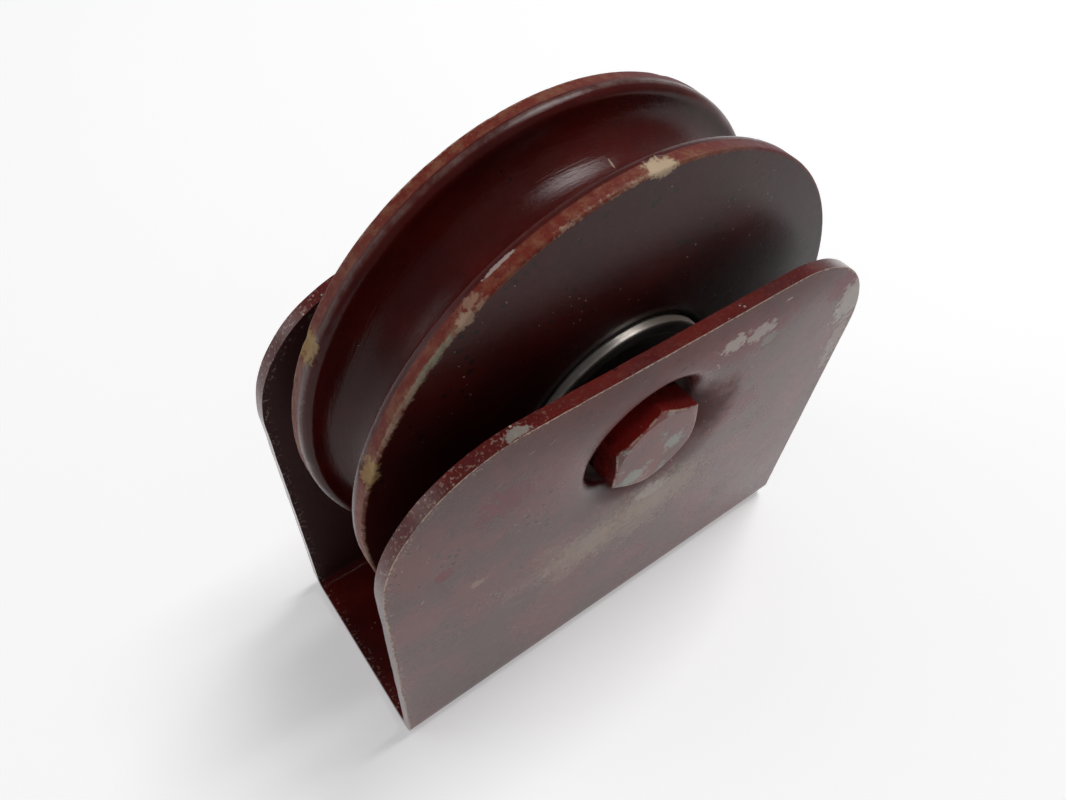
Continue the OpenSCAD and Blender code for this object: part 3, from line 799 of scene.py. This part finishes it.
# Axle bolt, spring washer and nut: hexagon fasteners, painted over with the bracket after it was put together.
# The bolt's head sits in the front dish, the nut and its washer in the back one. Spanners have rubbed their edges.
bolt_low, bolt_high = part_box("axle_bolt")
nut_low, nut_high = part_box("axle_nut")
hex_half = 9 * mm
hex_turn = 3
hex_edge = 0.25 * mm
hex_face_r = 8.55 * mm
hex_slope = math.tan(math.radians(17))
head_h = 7 * mm
bolt_r = 6 * mm
thread_pitch = 1.75 * mm
thread_depth = 0.62 * mm
bore_r = 6.1 * mm
bore_bevel = 1 * mm

# Outline of the hexagon with softened corners
bend_r = (hex_half - hex_edge) / math.cos(math.radians(30))
bends = []
for angle in np.arange(0, 360, 60) + 30 + hex_turn:
    middle = (bend_r * math.cos(math.radians(angle)), bend_r * math.sin(math.radians(angle)))
    bends.append(arc(middle, hex_edge, angle - 30, angle + 30, 5))
hex_outline = np.concatenate([
    np.concatenate([bend[:-1], line(bend[-1], following[0], 0.8 * mm)])
    for bend, following in zip(bends, bends[1:] + bends[:1])])
hex_reach = np.linalg.norm(hex_outline, axis=1)
hex_spokes = hex_outline / hex_reach[:, None]


def crown(inside):
    """Rings over one end of a hexagon, from the inside out to the flats.

    Each has its points, its drop below the end, and 1 if it lies on an edge."""
    rows = [(hex_spokes * r, np.zeros(len(hex_spokes)), 0) for r in inside]
    for share in (0, 0.04, 0.5, 0.9):
        r = hex_face_r * (1 - share) + (hex_reach - hex_edge) * share
        rows.append((hex_spokes * r[:, None], np.clip(r - hex_face_r, 0, None) * hex_slope, 0))
    top = np.clip(hex_reach - hex_edge - hex_face_r, 0, None) * hex_slope
    for angle in np.radians([0, 25, 50, 72, 90]):
        r = hex_reach - hex_edge * (1 - math.sin(angle))
        rows.append((hex_spokes * r[:, None], top + hex_edge * (1 - math.cos(angle)), 1))
    rows.append((hex_outline, top + hex_edge + 0.15 * mm, 0))
    return rows


def add_rings(rows, end, outward, points, values):
    """Adds rings about the axle, each below an end by its drop, and returns their numbers."""
    first = len(points)
    for plane, drop, edge in rows:
        points += np.stack([plane[:, 0], end - outward * drop, axle_z + plane[:, 1]], 1).tolist()
        values += [edge] * len(plane)
    return first + np.arange(len(points) - first).reshape(len(rows), -1)


# Bolt: head, then a shank whose thread runs out through the nut to a beveled end
points, values = [], []
rows = crown(np.array([0.01, 3, 6, 8, 8.5]) * mm)
rows += [(hex_outline, np.full(len(hex_outline), drop), 0) for drop in (3.5 * mm, 5.5 * mm, head_h)]
rows.append((hex_outline * 0.6, np.full(len(hex_outline), head_h), 0))
head_faces = grid_faces(add_rings(rows, bolt_low.y, -1, points, values), True)
round_steps = 96
turns = np.linspace(0, 2 * math.pi, round_steps, endpoint=False)
ring = np.stack([np.cos(turns), np.sin(turns)], 1)
thread_from = nut_low.y - 1 * mm
rows = [(ring * bolt_r, np.full(round_steps, y), 0) for y in (bolt_low.y + head_h, thread_from)]
for y in np.arange(thread_from + 0.1 * mm, bolt_high.y, 0.1 * mm):
    phase = (y / thread_pitch - turns / (2 * math.pi)) % 1
    cut = np.clip(1.25 - np.abs(phase - 0.5) * 4, 0, 1) * thread_depth
    beveled = bolt_r - 1 * mm + (bolt_high.y - y)
    rows.append((ring * np.minimum(bolt_r - cut, beveled)[:, None], np.full(round_steps, y), 0))
rows += [(ring * r, np.full(round_steps, bolt_high.y), 0) for r in (bolt_r - 1.05 * mm, 0.01 * mm)]
shank_faces = grid_faces(add_rings(rows, 0, -1, points, values), True)
bolt = add_piece("painted_bolt", points, np.concatenate([head_faces, shank_faces]), "support",
                 "axle_bolt")
add_values(bolt, "edge", values)

# Nut: both ends crowned, with a beveled bore
points, values = [], []
rows = crown(np.array([bore_r, bore_r + bore_bevel, 7.8 * mm, 8.5 * mm]))
rows[0] = (rows[0][0], np.full(len(hex_outline), bore_bevel), 0)
rows += [(plane, nut_high.y - nut_low.y - drop, edge) for plane, drop, edge in rows[::-1]]
index = add_rings(rows, nut_high.y, 1, points, values)
index = np.concatenate([index, index[:1]])
nut = add_piece("painted_nut", points, grid_faces(index, True)[:, ::-1], "support", "axle_nut")
add_values(nut, "edge", values)

hex_red = (0.23, 0.012, 0.009, 1)
hex_deep = (0.1, 0.006, 0.005, 1)
bare_green = (0.56, 0.66, 0.58, 1)
fastener_paint, tree, shader, position = new_material("fastener_paint_worn")
facing = split(tree, node(tree, "ShaderNodeNewGeometry").outputs["Normal"])
sideways = ramp(tree, maths(tree, "ABSOLUTE", facing["Y"]), 0.85, 0.98)
film = place(tree, paint_film, {
    "Position": position, "Paint": hex_red, "Deep": hex_deep, "Dust": road_dust,
    "Gloss": 0.26, "Pits": 0.5, "Specks": 0.5, "Dust share": times(tree, sideways, 0.4)})
patch = ramp(tree, fine_noise(tree, position, 0.2, 6, 0.72), 0.54, 0.62)
patch = times(tree, times(tree, patch, sideways), 0.45)
flakes = flaking(tree, position, 0.7)
for x, z, reach in ((4.2, 63.4, 2.3), (-4.6, 59.2, 2.6)):
    mask = place(tree, ragged_patch, {
        "Position": position, "Middle": (x, bolt_low.y / mm, z), "Reach": (reach, 1, reach), "Break": 2.6,
        "Flaking": flakes, "Soft": 0.25})["Mask"]
    patch = maths(tree, "MAXIMUM", patch, times(tree, mask, 0.6))
colour = mix(tree, patch, film["Color"], bare_green)
edge = node(tree, "ShaderNodeAttribute", attribute_name="edge").outputs["Fac"]
rubbed = ramp(tree, fine_noise(tree, position, 0.45, 5, 0.7), 0.42, 0.58)
rubbed = times(tree, times(tree, rubbed, ramp(tree, edge, 0.55, 1.0)), 0.55)
colour = mix(tree, rubbed, colour, plate_arris)
rough = mix_value(tree, maths(tree, "MAXIMUM", rubbed, patch), film["Roughness"], 0.6)
set_finish(tree, shader, colour, rough, film["Height"], strength=0.8)
shader.inputs["Specular IOR Level"].default_value = 0.4
for piece in (bolt, nut):
    piece.modifiers.new("flat_faces", "WEIGHTED_NORMAL")
bolt.data.materials.append(fastener_paint)
nut.data.materials.append(fastener_paint)
frame["nodes"]["spring_washer"].data.materials[0] = fastener_paint

# Floor: a plain pale sheet that the bracket's web stands on, wide enough to fill the picture.
# The camera and reflections see it lifted to near white, and the object's shadow still shows on it.
floor_half = 3.0
floor_lift = 0.335
mesh = bpy.data.meshes.new("floor")
mesh.from_pydata([(-floor_half, -floor_half, 0), (floor_half, -floor_half, 0), (floor_half, floor_half, 0),
                  (-floor_half, floor_half, 0)], [], [(0, 1, 2, 3)])
floor = bpy.data.objects.new("floor", mesh)
bpy.context.scene.collection.objects.link(floor)
floor_paper, tree, shader, position = new_material("floor_paper")
shader.inputs["Base Color"].default_value = (0.85, 0.85, 0.85, 1)
shader.inputs["Roughness"].default_value = 0.9
shader.inputs["Specular IOR Level"].default_value = 0.0
shader.inputs["Emission Color"].default_value = (1, 1, 1, 1)
rays = tree.nodes.new("ShaderNodeLightPath").outputs
seen = maths(tree, "MAXIMUM", rays["Is Glossy Ray"], rays["Is Transmission Ray"])
seen = maths(tree, "MAXIMUM", rays["Is Camera Ray"], seen)
tree.links.new(times(tree, seen, floor_lift), shader.inputs["Emission Strength"])
floor.data.materials.append(floor_paper)

# Light: a soft box high on the right and a weak one low behind on the left.
# The room round them is plain grey, dimmer in front and overhead.
lamps = [
    ("key_box", Vector((0.42, 0.05, 0.9)) * 1.5, 0.54, 13.0),
    ("side_box", Vector((-0.75, 0.56, 0.36)) * 1.3, 0.6, 1.6),
]
aim = Vector((0, 0, 0.06))
for name, place_at, size, power in lamps:
    lamp = bpy.data.lights.new(name, "AREA")
    lamp.size = size
    lamp.energy = power
    box = bpy.data.objects.new(name, lamp)
    box.location = aim + place_at
    box.rotation_euler = (-place_at).to_track_quat("-Z", "Y").to_euler()
    bpy.context.scene.collection.objects.link(box)
world = bpy.data.worlds.new("room")
bpy.context.scene.world = world
world.use_nodes = True
tree = world.node_tree
direction = split(tree, tree.nodes.new("ShaderNodeTexCoord").outputs["Generated"])
overhead = ramp(tree, direction["Z"], 0.1, 0.6)
behind = ramp(tree, direction["Y"], -0.5, 0.6)
horizon = mix(tree, behind, (0.2, 0.2, 0.2, 1), (0.55, 0.55, 0.56, 1))
tree.links.new(mix(tree, overhead, horizon, (0.2, 0.2, 0.21, 1)), tree.nodes["Background"].inputs["Color"])

# Camera: held close above the left front corner, as the picture was taken.
# The place and the lens come from fitting the outlines of the wheel and the bracket.
camera = bpy.data.objects.new("camera", bpy.data.cameras.new("camera"))
bpy.context.scene.collection.objects.link(camera)
camera.location = (-68.54 * mm, -71.22 * mm, 176.74 * mm)
camera.rotation_euler = (math.radians(38.324), math.radians(-2.916), math.radians(-36.108))
camera.data.sensor_width = 36
camera.data.lens = 27.34
camera.data.clip_start = 0.005
bpy.context.scene.camera = camera
bpy.context.scene.view_settings.view_transform = "Standard"
